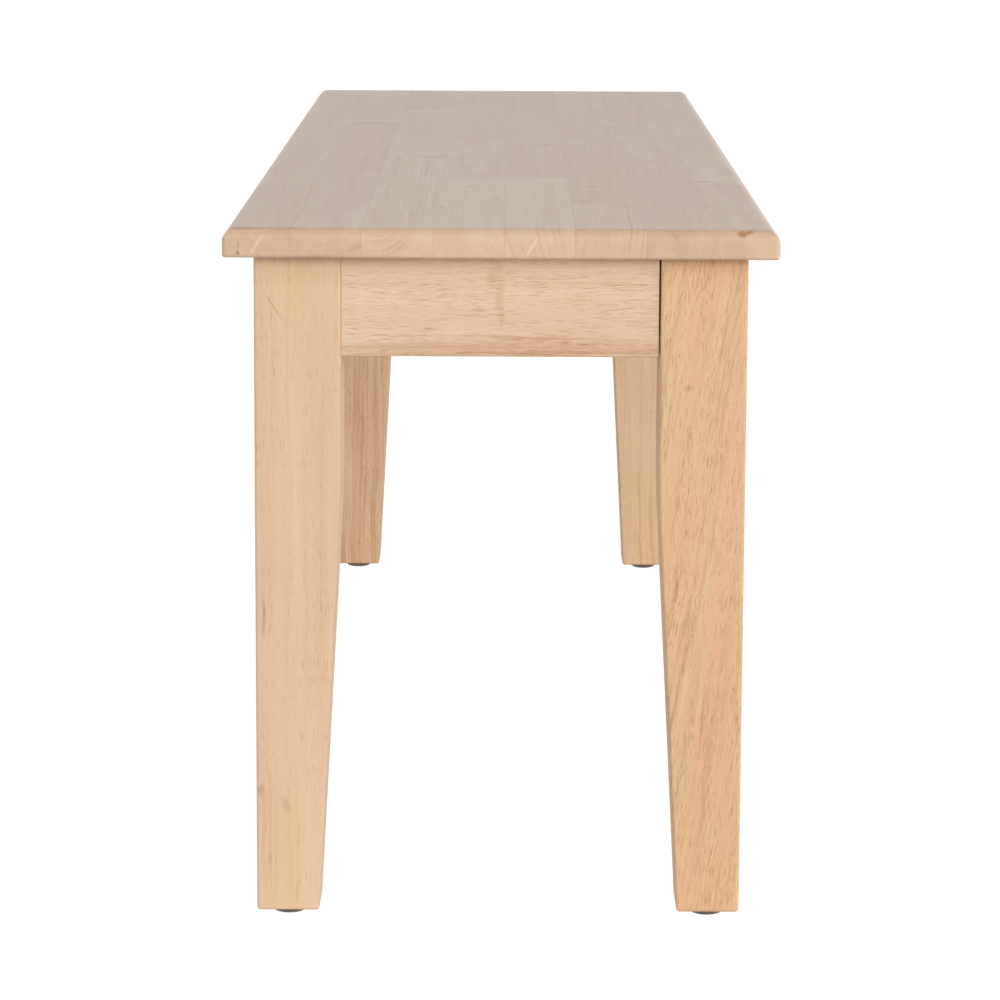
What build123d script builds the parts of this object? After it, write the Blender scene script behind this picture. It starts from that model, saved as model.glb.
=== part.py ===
from build123d import *
import math
import os

# Dining bench of solid strip wood: a glued-up seat board on an apron frame,
# carried by four square legs that taper on their two inner faces and bolt on
# through wooden corner blocks. Nothing on it moves.
# Millimetres. X runs along the bench, Y across it and Z up from the floor,
# and the origin is on the floor under the middle of the seat.

# Overall
bench_length = 1200.0
bench_width = 356.0
bench_height = 460.0

# Seat board
top_thickness = 19.0
upper_round = 9.5
lower_round = 2.5
rim_land = 0.5
corner_round = 4.5
side_overhang = 19.0
end_overhang = 19.0

# Glue lines across the seat's width, and finger joints along each stave from its right end
stave_line_shares = (0.122, 0.250, 0.378, 0.506, 0.633, 0.761, 0.889)
joint_shares = (
    (0.327, 0.715),
    (0.300, 0.677),
    (0.414, 0.795),
    (0.267, 0.570, 0.850),
    (0.277, 0.508, 0.780),
    (0.132, 0.395, 0.618),
    (0.400, 0.700),
    (0.258, 0.467, 0.765),
)
finger_length = 5.0
finger_count = 4

# Legs
leg_width = 56.0
foot_width = 41.0
taper_height = 280.0
taper_blend = 900.0
leg_ease = 2.0
foot_ease = 2.6
leg_flat_cut = 14.0
leg_flat_height = 60.0

# Aprons
apron_height = 66.0
apron_thickness = 19.0
apron_setback = 3.0
apron_ease = 1.0
close_seam = 0.2
open_seam = 1.2

# Corner blocks
block_thickness = 22.0
block_height = 58.0
block_gap = 6.0

# Cross brace under the middle of the seat
brace_width = 60.0
brace_thickness = 22.0
housing_depth = 5.0
housing_clearance = 0.2

# Hanger bolts and what is on them
bolt_diameter = 8.0
bolt_hole = 9.0
bolt_in_leg = 40.0
bolt_point = 5.0
bolt_end = 3.0
bolt_end_chamfer = 1.0
bolt_drop = 16.0
bolt_spacing = 27.0
washer_diameter = 20.0
washer_thickness = 1.6
washer_clearance = 0.2
spring_diameter = 14.8
spring_thickness = 2.0
spring_split = 1.6
nut_width = 13.0
nut_height = 6.5
nut_chamfer = 0.9

# Wood screws
screw_diameter = 4.0
screw_head = 8.0
screw_head_height = 2.6
screw_head_edge = 1.2
screw_point = 5.0
screw_well = 10.0
block_screw_seat = 10.0
block_screw_bite = 15.0
block_screw_spacing = 30.0
seat_screw_length = 40.0
seat_screw_bite = 12.0
seat_screw_offset = 20.0
brace_screw_bite = 10.0
brace_screw_inset = 29.0

# Nail-on glides under the feet
glide_diameter = 24.0
glide_flat = 17.0
glide_height = 5.0
glide_rim = 2.2
nail_diameter = 2.2
nail_head = 8.0
nail_head_height = 0.9
nail_length = 18.0
nail_point = 2.5

# Clearance round every shank, and how far a cut runs past what it cuts
shank_clearance = 0.05
overrun = 5.0

# Places that follow from the sizes above
end_x = bench_length / 2
side_y = bench_width / 2
under_z = bench_height - top_thickness
leg_x = end_x - end_overhang
leg_y = side_y - side_overhang
leg_inner_x = leg_x - leg_width
leg_inner_y = leg_y - leg_width
apron_z = under_z - apron_height
apron_outer_x = leg_x - apron_setback
apron_outer_y = leg_y - apron_setback
apron_inner_x = apron_outer_x - apron_thickness
apron_inner_y = apron_outer_y - apron_thickness
block_z = under_z - block_height
block_back = block_gap + block_thickness
bolt_heights = (under_z - bolt_drop, under_z - bolt_drop - bolt_spacing)
shank_hole = screw_diameter / 2 + shank_clearance

# The 45 degree line of the back right corner, outwards through the leg, and the level line square to it
outward = Vector(1, 1, 0).normalized()
sideways = Vector(1, -1, 0).normalized()
corner_signs = {
    "back_right": (1, 1),
    "front_right": (1, -1),
    "back_left": (-1, 1),
    "front_left": (-1, -1),
}


def span(low, high):
    """Box between two opposite corners."""
    size = [b - a for a, b in zip(low, high)]
    centre = [(a + b) / 2 for a, b in zip(low, high)]
    return Pos(*centre) * Box(*size)


def prism(points, direction, length):
    """Straight solid with a flat outline of 3-D points."""
    return extrude(make_face(Polyline(*points, close=True)), amount=length, dir=direction)


def rod(start, direction, radius, length):
    """Round bar from a point along a direction."""
    bar = Cylinder(radius, length, align=(Align.CENTER, Align.CENTER, Align.MIN))
    return Plane(start, z_dir=direction) * bar


def ring(start, direction, radius, hole_radius, length):
    """Round bar with a hole through it."""
    hole = rod(start, direction, hole_radius, length)
    return rod(start, direction, radius, length) - hole


def turned(points):
    """Solid of revolution about Z from (radius, height) pairs."""
    outline = [(radius, 0, height) for radius, height in points]
    return revolve(make_face(Polyline(*outline, close=True)), axis=Axis.Z)


def in_corner(shape, signs):
    """Copy of a back right piece in the corner with the given signs."""
    if signs[0] < 0:
        shape = mirror(shape, about=Plane.YZ)
    if signs[1] < 0:
        shape = mirror(shape, about=Plane.XZ)
    return shape


def in_all_corners(shapes):
    """Copies of back right pieces in all four corners."""
    return [in_corner(shape, signs) for signs in corner_signs.values() for shape in shapes]


def save(name, shapes):
    """One STEP file for a sub-part, which may be a group of like solids."""
    solids = [solid for shape in shapes for solid in shape.solids()]
    export_step(solids[0] if len(solids) == 1 else Compound(solids), f"parts/{name}.step")


# Places of fasteners in the back right corner


def corner_point(inward, z):
    """Point on the corner's 45 degree line, a distance in from the flat on the leg."""
    flat = Vector(leg_inner_x + leg_flat_cut / 2, leg_inner_y + leg_flat_cut / 2, z)
    return flat - outward * inward


def block_ends(inward):
    """Where a level 45 degree line, a distance in from the leg's flat, meets the two aprons."""
    on_line = corner_point(inward, 0)
    total = on_line.X + on_line.Y
    return (total - apron_inner_y, apron_inner_y), (apron_inner_x, total - apron_inner_x)


def block_screw_places():
    """Seat point and direction of each screw from the corner block into an apron."""
    side_front, end_front = block_ends(block_gap)
    side_back, end_back = block_ends(block_back)
    side_x = (side_front[0] + side_back[0]) / 2
    end_y = (end_front[1] + end_back[1]) / 2
    middle = block_z + block_height / 2
    places = []
    for z in (middle - block_screw_spacing / 2, middle + block_screw_spacing / 2):
        places.append((Vector(side_x, apron_inner_y - block_screw_seat, z), Vector(0, 1, 0)))
        places.append((Vector(apron_inner_x - block_screw_seat, end_y, z), Vector(1, 0, 0)))
    return places


def seat_screw_places():
    """Seat point of each screw that goes up through the corner block into the seat."""
    middle = corner_point(block_gap + block_thickness / 2, under_z + seat_screw_bite - seat_screw_length)
    return [middle + sideways * side * seat_screw_offset for side in (-1, 1)]


def brace_screw_places():
    """Seat point of each screw that goes up through the brace into the seat."""
    reach = apron_inner_y - brace_screw_inset
    return [Vector(0, side * reach, under_z - brace_thickness) for side in (-1, 0, 1)]


# Seat board


def seat_board():
    """Whole seat board with rounded corners and rims and the screws' pilot holes."""
    board = span((-end_x, -side_y, under_z), (end_x, side_y, bench_height))
    outline = fillet(board.edges().filter_by(Axis.Z), corner_round)
    board = fillet(board.faces().sort_by(Axis.Z)[-1].edges(), upper_round)
    room = top_thickness - upper_round - rim_land
    board = fillet(board.faces().sort_by(Axis.Z)[0].edges(), min(lower_round, room))
    board = board & outline
    up = Vector(0, 0, 1)
    holes = in_all_corners([rod(p, up, shank_hole, seat_screw_length) for p in seat_screw_places()])
    holes += [rod(p, up, shank_hole, brace_thickness + brace_screw_bite) for p in brace_screw_places()]
    for hole in holes:
        board -= hole
    return board


def finger_line(x):
    """Zigzag of a finger joint from below the board to above it, as (x, z) pairs."""
    steps = 2 * finger_count
    swing = finger_length / 2
    line = [
        (x + (swing if step % 2 else -swing), under_z + top_thickness * step / steps)
        for step in range(steps + 1)
    ]
    return [(x - swing, under_z - overrun), *line, (x - swing, bench_height + overrun)]


def straight_line(x):
    """Upright line from below the board to above it, as (x, z) pairs."""
    return [(x, under_z - overrun), (x, bench_height + overrun)]


def stave_blocks(board, low_y, high_y, shares):
    """Short blocks of one stave, finger-jointed end to end."""
    lines = [straight_line(end_x + overrun)]
    lines += [finger_line(end_x - share * bench_length) for share in shares]
    lines += [straight_line(-end_x - overrun)]
    blocks = []
    for right, left in zip(lines, lines[1:]):
        outline = [(x, low_y, z) for x, z in right + left[::-1]]
        blocks.append(board & prism(outline, (0, 1, 0), high_y - low_y))
    return blocks


# Frame


def leg_outline(face):
    """Leg seen square on, its outer face on the left, on the given plane."""
    lean = math.atan((leg_width - foot_width) / taper_height)
    reach = taper_blend * math.tan(lean / 2)
    bend_z = glide_height + taper_height
    start = (leg_width, bend_z + reach)
    end = (leg_width - reach * math.sin(lean), bend_z - reach * math.cos(lean))
    upright = Line((leg_width, under_z), start)
    blend = TangentArc(start, end, tangent=(0, -1))
    rest = Polyline(end, (foot_width, glide_height), (0, glide_height), (0, under_z), (leg_width, under_z))
    return face * make_face([upright, blend, rest])


def leg():
    """Back right leg: square above, tapered on its two inner faces below."""
    corner = (leg_x, leg_y, 0)
    seen_along_y = leg_outline(Plane(corner, x_dir=(-1, 0, 0), z_dir=(0, 1, 0)))
    seen_along_x = leg_outline(Plane(corner, x_dir=(0, -1, 0), z_dir=(-1, 0, 0)))
    shape = extrude(seen_along_y, amount=leg_width, dir=(0, -1, 0))
    shape &= extrude(seen_along_x, amount=leg_width, dir=(-1, 0, 0))
    long_edges = [edge for edge in shape.edges() if edge.bounding_box().size.Z > leg_ease]
    shape = fillet(long_edges, leg_ease)
    shape = fillet(shape.faces().sort_by(Axis.Z)[0].edges(), foot_ease)
    low = (leg_inner_x - overrun, leg_inner_y - overrun)
    reach = leg_flat_cut + 2 * overrun
    flat = [
        (low[0], low[1], under_z + overrun),
        (low[0] + reach, low[1], under_z + overrun),
        (low[0], low[1] + reach, under_z + overrun),
    ]
    shape -= prism(flat, (0, 0, -1), leg_flat_height + overrun)
    for z in bolt_heights:
        start = corner_point(overrun, z)
        shape -= rod(start, outward, bolt_diameter / 2 + shank_clearance, overrun + bolt_in_leg)
    nail_hole = nail_diameter / 2 + shank_clearance
    return shape - rod(foot_centre(), (0, 0, 1), nail_hole, glide_height + nail_length)


def foot_centre():
    """Point on the floor under the middle of the back right foot."""
    return Vector(leg_x - foot_width / 2, leg_y - foot_width / 2, 0)


def apron(low, high):
    """Board on edge between two corners, its two lower long edges eased."""
    shape = span((*low, apron_z), (*high, under_z))
    along = Axis.X if high[0] - low[0] > high[1] - low[1] else Axis.Y
    lower = shape.edges().filter_by(along).sort_by(Axis.Z)[:2]
    return fillet(lower, apron_ease)


def drilled(shape, places):
    """Apron with the pilot holes of the block screws that reach it."""
    for seat, direction in places:
        shape -= rod(seat, direction, shank_hole, block_screw_seat + block_screw_bite)
    return shape


def side_apron(sign):
    """Long apron on the front or the back, housed out for the brace."""
    reach = leg_inner_x - close_seam
    shape = apron((-reach, apron_inner_y), (reach, apron_outer_y))
    places = [place for place in block_screw_places() if place[1].Y > 0]
    shape = drilled(shape, places)
    shape = drilled(shape, [(Vector(-seat.X, seat.Y, seat.Z), way) for seat, way in places])
    half = brace_width / 2 + housing_clearance
    shape -= span(
        (-half, apron_inner_y - overrun, under_z - brace_thickness),
        (half, apron_inner_y + housing_depth, under_z + overrun),
    )
    return in_corner(shape, (1, sign))


def end_apron(sign, back_seam):
    """Short apron on the right or left end, with its own seam beside the back leg."""
    shape = apron(
        (apron_inner_x, close_seam - leg_inner_y),
        (apron_outer_x, leg_inner_y - back_seam),
    )
    places = [place for place in block_screw_places() if place[1].X > 0]
    shape = drilled(shape, places)
    shape = drilled(shape, [(Vector(seat.X, -seat.Y, seat.Z), way) for seat, way in places])
    return in_corner(shape, (sign, 1))


def corner_block():
    """Back right corner block, set at 45 degrees between two aprons."""
    side_front, end_front = block_ends(block_gap)
    side_back, end_back = block_ends(block_back)
    outline = [(*point, block_z) for point in (side_front, end_front, end_back, side_back)]
    shape = prism(outline, (0, 0, 1), block_height)
    for z in bolt_heights:
        shape -= rod(corner_point(0, z), -outward, bolt_hole / 2, block_back + overrun)
    for seat, direction in block_screw_places():
        shape -= rod(seat, direction, shank_hole, block_screw_seat + overrun)
        shape -= rod(seat, -direction, screw_well / 2, block_thickness + overrun)
    for seat in seat_screw_places():
        shape -= rod(seat, (0, 0, 1), shank_hole, seat_screw_length)
        shape -= rod(seat, (0, 0, -1), screw_well / 2, block_height)
    return shape


def cross_brace():
    """Flat brace under the middle of the seat, its ends let into the side aprons."""
    reach = apron_inner_y + housing_depth - housing_clearance
    shape = span(
        (-brace_width / 2, -reach, under_z - brace_thickness),
        (brace_width / 2, reach, under_z),
    )
    for seat in brace_screw_places():
        shape -= rod(seat, (0, 0, 1), shank_hole, brace_thickness + overrun)
    return shape


# Fasteners


def wood_screw(seat, direction, length):
    """Pan-head wood screw with the underside of its head on its seat."""
    radius = screw_diameter / 2
    head = screw_head / 2
    shape = turned([
        (0, -screw_head_height),
        (head - screw_head_edge, -screw_head_height),
        (head, screw_head_edge - screw_head_height),
        (head, 0),
        (radius, 0),
        (radius, length - screw_point),
        (0, length),
    ])
    return Plane(seat, z_dir=direction) * shape


def hanger_bolt(z):
    """Stud with a pointed wood end in the leg and a plain end inside the frame."""
    radius = bolt_diameter / 2
    stack = washer_thickness + spring_thickness + nut_height + bolt_end
    length = bolt_in_leg + block_back + stack
    shape = turned([
        (0, 0),
        (radius, bolt_point),
        (radius, length - bolt_end_chamfer),
        (radius - bolt_end_chamfer, length),
        (0, length),
    ])
    return Plane(corner_point(-bolt_in_leg, z), z_dir=-outward) * shape


def spring_washer(z):
    """Split ring between the flat washer and the nut."""
    start = corner_point(block_back + washer_thickness, z)
    hole = bolt_diameter / 2 + washer_clearance
    shape = ring(start, -outward, spring_diameter / 2, hole, spring_thickness)
    split = Pos(0, spring_diameter / 2, 0) * Box(spring_split, spring_diameter, 3 * spring_thickness)
    return shape - Plane(start, z_dir=-outward) * split


def hex_nut(z):
    """Hexagon nut with its outer corners chamfered."""
    start = corner_point(block_back + washer_thickness + spring_thickness, z)
    hexagon = extrude(RegularPolygon(nut_width / 2, 6, major_radius=False), amount=nut_height)
    across_corners = nut_width / math.cos(math.pi / 6)
    blank = Cylinder(across_corners / 2, nut_height, align=(Align.CENTER, Align.CENTER, Align.MIN))
    shape = hexagon & chamfer(blank.edges(), nut_chamfer / 2, nut_chamfer)
    shape -= rod((0, 0, 0), (0, 0, 1), bolt_diameter / 2 + shank_clearance, nut_height)
    return Plane(start, z_dir=-outward) * shape


def glide():
    """Domed pad under a foot, hollowed for its nail's head."""
    rim_z = glide_height - glide_rim
    radius = glide_diameter / 2
    bottom = Line((0, 0), (glide_flat / 2, 0))
    dome = TangentArc((glide_flat / 2, 0), (radius, rim_z), tangent=(1, 0))
    rest = Polyline((radius, rim_z), (radius, glide_height), (0, glide_height), (0, 0))
    shape = revolve(Plane.XZ * make_face([bottom, dome, rest]), axis=Axis.Z)
    head_z = glide_height - nail_head_height
    shape -= rod((0, 0, head_z), (0, 0, 1), nail_head / 2 + shank_clearance, nail_head_height)
    return Pos(foot_centre()) * shape


def glide_nail():
    """Nail of a glide, its head flush with the top of the pad."""
    tip = glide_height + nail_length
    shape = turned([
        (0, glide_height - nail_head_height),
        (nail_head / 2, glide_height - nail_head_height),
        (nail_head / 2, glide_height),
        (nail_diameter / 2, glide_height),
        (nail_diameter / 2, tip - nail_point),
        (0, tip),
    ])
    return Pos(foot_centre()) * shape


os.makedirs("parts", exist_ok=True)

board = seat_board()
lines = [-side_y - overrun, *(share * bench_width - side_y for share in stave_line_shares), side_y + overrun]
for number, shares in enumerate(joint_shares, start=1):
    save(f"top_stave_{number}", stave_blocks(board, lines[number - 1], lines[number], shares))

corner_pieces = {"leg": leg(), "corner_block": corner_block()}
for name, shape in corner_pieces.items():
    for corner, signs in corner_signs.items():
        save(f"{name}_{corner}", [in_corner(shape, signs)])

save("apron_front", [side_apron(-1)])
save("apron_back", [side_apron(1)])
save("apron_right", [end_apron(1, open_seam)])
save("apron_left", [end_apron(-1, close_seam)])
save("cross_brace", [cross_brace()])

save("hanger_bolts", in_all_corners([hanger_bolt(z) for z in bolt_heights]))
save("flat_washers", in_all_corners([
    ring(corner_point(block_back, z), -outward, washer_diameter / 2,
         bolt_diameter / 2 + washer_clearance, washer_thickness)
    for z in bolt_heights
]))
save("spring_washers", in_all_corners([spring_washer(z) for z in bolt_heights]))
save("hex_nuts", in_all_corners([hex_nut(z) for z in bolt_heights]))
block_screw_length = block_screw_seat + block_screw_bite
save("block_screws", in_all_corners([
    wood_screw(seat, direction, block_screw_length) for seat, direction in block_screw_places()
]))
save("seat_screws", in_all_corners([
    wood_screw(seat, (0, 0, 1), seat_screw_length) for seat in seat_screw_places()
]))
save("brace_screws", [
    wood_screw(seat, (0, 0, 1), brace_thickness + brace_screw_bite) for seat in brace_screw_places()
])
save("foot_glides", in_all_corners([glide()]))
save("glide_nails", in_all_corners([glide_nail()]))
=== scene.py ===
import math
import random
import bmesh
import bpy
from bpy.props import FloatProperty, FloatVectorProperty, IntProperty, PointerProperty
from mathutils import Matrix, Vector


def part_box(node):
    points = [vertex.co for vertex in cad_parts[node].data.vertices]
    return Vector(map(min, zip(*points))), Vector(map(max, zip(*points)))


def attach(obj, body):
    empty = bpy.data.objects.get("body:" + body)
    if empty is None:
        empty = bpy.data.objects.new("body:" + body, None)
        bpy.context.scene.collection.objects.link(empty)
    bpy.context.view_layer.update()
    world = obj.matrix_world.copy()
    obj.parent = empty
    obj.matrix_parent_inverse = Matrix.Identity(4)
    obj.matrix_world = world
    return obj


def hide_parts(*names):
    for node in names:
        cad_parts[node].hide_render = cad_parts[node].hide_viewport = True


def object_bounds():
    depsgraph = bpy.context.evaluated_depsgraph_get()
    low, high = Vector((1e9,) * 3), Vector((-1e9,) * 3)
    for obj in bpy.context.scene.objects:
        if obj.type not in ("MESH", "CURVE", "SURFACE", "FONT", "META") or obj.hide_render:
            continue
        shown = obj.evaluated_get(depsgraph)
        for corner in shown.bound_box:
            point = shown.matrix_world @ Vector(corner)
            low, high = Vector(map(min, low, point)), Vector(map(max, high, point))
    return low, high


# The looks of a dining bench: a seat board glued up from short finger-jointed blocks of pale
# rubberwood, four tapered legs, aprons, and the corner blocks and fixings under the seat.
# Metres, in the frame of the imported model: X along the bench, Y across it, Z up.

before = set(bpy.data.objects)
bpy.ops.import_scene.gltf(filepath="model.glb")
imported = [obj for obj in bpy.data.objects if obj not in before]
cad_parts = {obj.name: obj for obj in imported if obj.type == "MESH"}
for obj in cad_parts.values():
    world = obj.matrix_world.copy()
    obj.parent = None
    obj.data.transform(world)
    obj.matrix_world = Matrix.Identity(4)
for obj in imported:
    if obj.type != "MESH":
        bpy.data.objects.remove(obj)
cad_box = [list(corner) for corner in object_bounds()]
seat_top = Vector((0, 0, cad_box[1][2]))

bl_info = {
    "name": "Dining bench",
    "version": (1, 0, 0),
    "blender": (4, 5, 0),
    "location": "View3D > Sidebar > Bench",
    "description": "Wood, fixings and stage of a dining bench around its construction model",
    "category": "Object",
}

mm = 0.001
in_mm = 1000.0
degree = math.pi / 180
origin = (0, 0, 0)
black = (0, 0, 0, 1)
white = (1, 1, 1, 1)
# What a node group that makes a whole surface gives
surface = {"Color": black, "Roughness": 0.0, "Height": 0.0}
corner_signs = {
    "back_right": (1, 1),
    "front_right": (1, -1),
    "back_left": (-1, 1),
    "front_left": (-1, -1),
}


# What a user would change


def colour_setting(name, description, default):
    """Setting for a colour."""
    return FloatVectorProperty(
        name=name, description=description, subtype="COLOR", size=4, min=0, max=1, default=(*default, 1))


def length_setting(name, description, default, least=0.0):
    """Setting for a length."""
    return FloatProperty(
        name=name, description=description, default=default, min=least, unit="LENGTH", precision=5)


def angle_setting(name, description, default):
    """Setting for an angle."""
    return FloatProperty(name=name, description=description, subtype="ANGLE", default=default)


def power_setting(name, description, default):
    """Setting for the power of a lamp."""
    return FloatProperty(name=name, description=description, subtype="POWER", default=default, min=0)


class WoodProperties(bpy.types.PropertyGroup):
    """Colours and figure shared by every wooden piece."""

    pale: colour_setting("Pale wood", "Lightest tone of the wood", (0.865, 0.650, 0.432))
    middle: colour_setting("Middle wood", "Usual tone of the wood", (0.800, 0.548, 0.342))
    deep: colour_setting("Deep wood", "Darkest tone of the growth rings", (0.610, 0.356, 0.200))
    blush: colour_setting("Blush", "Pinkish tone that some bands and blocks lean to", (0.770, 0.478, 0.310))
    pore: colour_setting("Pores", "Colour of the open pores", (0.500, 0.225, 0.110))
    pore_length: length_setting("Pore length", "Usual length of a pore along the grain", 24 * mm, mm)
    ring_width: length_setting("Ring width", "Usual width of a growth ring", 4.6 * mm, mm)
    edge_ease: length_setting(
        "Edge ease", "How far the sharp edges of the hidden wooden pieces are broken", 0.6 * mm)


class SeatProperties(bpy.types.PropertyGroup):
    """How the blocks of the seat board differ and meet."""

    joint_groove: length_setting(
        "Joint groove", "How far each block's rim is eased along its glue lines", 0.08 * mm)
    tone_spread: FloatProperty(
        name="Tone spread", description="How much the blocks differ in tone",
        default=0.20, min=0, max=1, subtype="FACTOR")
    seed: IntProperty(
        name="Seed", description="Picks the tone and figure of the blocks", default=7, min=0)


class FixingProperties(bpy.types.PropertyGroup):
    """Steel and plastic of the fixings and glides."""

    thread_pitch: length_setting(
        "Thread pitch", "Pitch of the hanger bolts' machine thread", 1.25 * mm, 0.5 * mm)
    wood_pitch: length_setting("Wood thread pitch", "Pitch of the wood screws' thread", 1.8 * mm, 0.5 * mm)
    recess_width: length_setting("Recess width", "Across the cross recess in a screw head", 4.4 * mm, mm)
    zinc: colour_setting("Zinc", "Colour of the clear zinc plating", (0.62, 0.63, 0.64))
    zinc_bloom: colour_setting(
        "Zinc bloom", "Duller tone that the clear zinc plating turns to in patches", (0.47, 0.49, 0.52))
    yellow_zinc: colour_setting("Yellow zinc", "Colour of the yellow zinc plating", (0.72, 0.52, 0.22))
    yellow_bloom: colour_setting(
        "Yellow zinc bloom", "Reddish tone that the yellow zinc turns to in patches", (0.62, 0.36, 0.21))
    plastic: colour_setting("Glide plastic", "Colour of the glides", (0.115, 0.083, 0.060))
    seed: IntProperty(
        name="Seed", description="Picks how far each fixing is turned", default=3, min=0)


class StageProperties(bpy.types.PropertyGroup):
    """Camera, lamps and floor."""

    lens: FloatProperty(
        name="Lens", description="Focal length on a 36 mm wide sensor", default=129.02, min=1)
    camera_place: FloatVectorProperty(
        name="Camera place", description="Where the camera stands", subtype="TRANSLATION",
        unit="LENGTH", size=3, default=(2.8646, 0.0025, 0.7156))
    camera_pitch: angle_setting("Pitch", "How far the camera looks down", 0.1599)
    camera_yaw: angle_setting("Yaw", "How far the camera turns from the bench's long axis", -0.0012)
    camera_roll: angle_setting("Roll", "How far the camera tilts to one side", -0.005)
    camera_shift: FloatProperty(
        name="Shift", description="Upward shift of the frame, as a share of its width", default=-0.1)
    front_light: power_setting("Front light", "Power of the large low lamp beyond the right end", 555)
    upper_light: power_setting("Upper light", "Power of the lamp above the right end", 90)
    key_light: power_setting("Key light", "Power of the nearer lamp to one side of the right end", 102)
    fill_light: power_setting("Fill light", "Power of the weaker lamp to the other side of the right end", 40)
    back_light: power_setting("Back light", "Power of the large lamp beyond the left end", 80)
    side_light: power_setting("Side light", "Power of the lamp on each long side", 45)
    room_light: FloatProperty(
        name="Room light", description="Strength of the even light from all round", default=0.08, min=0)


# Node trees


class Flow:
    """What a node's socket gives. Sums, differences, products and quotients of flows are nodes."""

    def __init__(self, socket):
        self.socket = socket

    def math(self, operation, *others):
        """Result of a Math node, or of a Vector Math node where this flow is a place or a colour."""
        if self.socket.type == "VALUE":
            return run("ShaderNodeMath", dict(enumerate((self, *others))), operation=operation)
        others = ((other,) * 3 if isinstance(other, (int, float)) else other for other in others)
        return run("ShaderNodeVectorMath", dict(enumerate((self, *others))), operation=operation)

    def __add__(self, other):
        return self.math("ADD", other)

    def __sub__(self, other):
        return self.math("SUBTRACT", other)

    def __mul__(self, other):
        return self.math("MULTIPLY", other)

    def __truediv__(self, other):
        return self.math("DIVIDE", other)

    def length(self):
        """Distance of a place from the origin."""
        return run("ShaderNodeVectorMath", {0: self}, "Value", operation="LENGTH")

    def part(self, axis):
        """One part of a place, or of a colour as if it were one."""
        return run("ShaderNodeSeparateXYZ", {0: self}, axis)


def feed(node, values):
    """Sets a node's inputs, or links flows to them, by name or number."""
    for socket, value in values.items():
        if isinstance(value, Flow):
            node.id_data.links.new(value.socket, node.inputs[socket])
        else:
            node.inputs[socket].default_value = value


def put(tree, kind, values=None, **settings):
    """Adds a node with its settings and inputs."""
    node = tree.nodes.new(kind)
    for name, value in settings.items():
        setattr(node, name, value)
    feed(node, values or {})
    return node


def run(kind, values, output=0, **settings):
    """One output of a new node in the tree that its inputs come from."""
    tree = next(value.socket.id_data for value in values.values() if isinstance(value, Flow))
    return Flow(put(tree, kind, values, **settings).outputs[output])


def flows(node):
    """Outputs of a node by name."""
    return {socket.name: Flow(socket) for socket in node.outputs}


def joined(x, y, z):
    """Place from its three parts."""
    return run("ShaderNodeCombineXYZ", {"X": x, "Y": y, "Z": z})


def blend(factor, first, second):
    """Colour mixed from two others."""
    return run("ShaderNodeMix", {"Factor": factor, 6: first, 7: second}, 2, data_type="RGBA")


def remap(value, low, high, new_low=0.0, new_high=1.0):
    """Value carried softly from one range to another, held at its ends."""
    values = {"Value": value, "From Min": low, "From Max": high, "To Min": new_low, "To Max": new_high}
    return run("ShaderNodeMapRange", values, interpolation_type="SMOOTHSTEP")


def speckle(place, scale=1.0, detail=2.0, roughness=0.5, output="Fac"):
    """Noise texture, from 0 to 1 around a half."""
    values = {"Vector": place, "Scale": scale, "Detail": detail, "Roughness": roughness}
    return run("ShaderNodeTexNoise", values, output)


def group_of(name, inputs, outputs):
    """New shader node group: its inputs as flows, and its output node. A number stands for a value,
    three numbers for a place and four for a colour."""
    tree = bpy.data.node_groups.new(name, "ShaderNodeTree")
    for way, sockets in (("INPUT", inputs), ("OUTPUT", outputs)):
        for socket_name, default in sockets.items():
            count = 1 if isinstance(default, float) else len(default)
            kind = {1: "NodeSocketFloat", 3: "NodeSocketVector", 4: "NodeSocketColor"}[count]
            tree.interface.new_socket(socket_name, in_out=way, socket_type=kind).default_value = default
    return flows(tree.nodes.new("NodeGroupInput")), tree.nodes.new("NodeGroupOutput")


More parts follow.
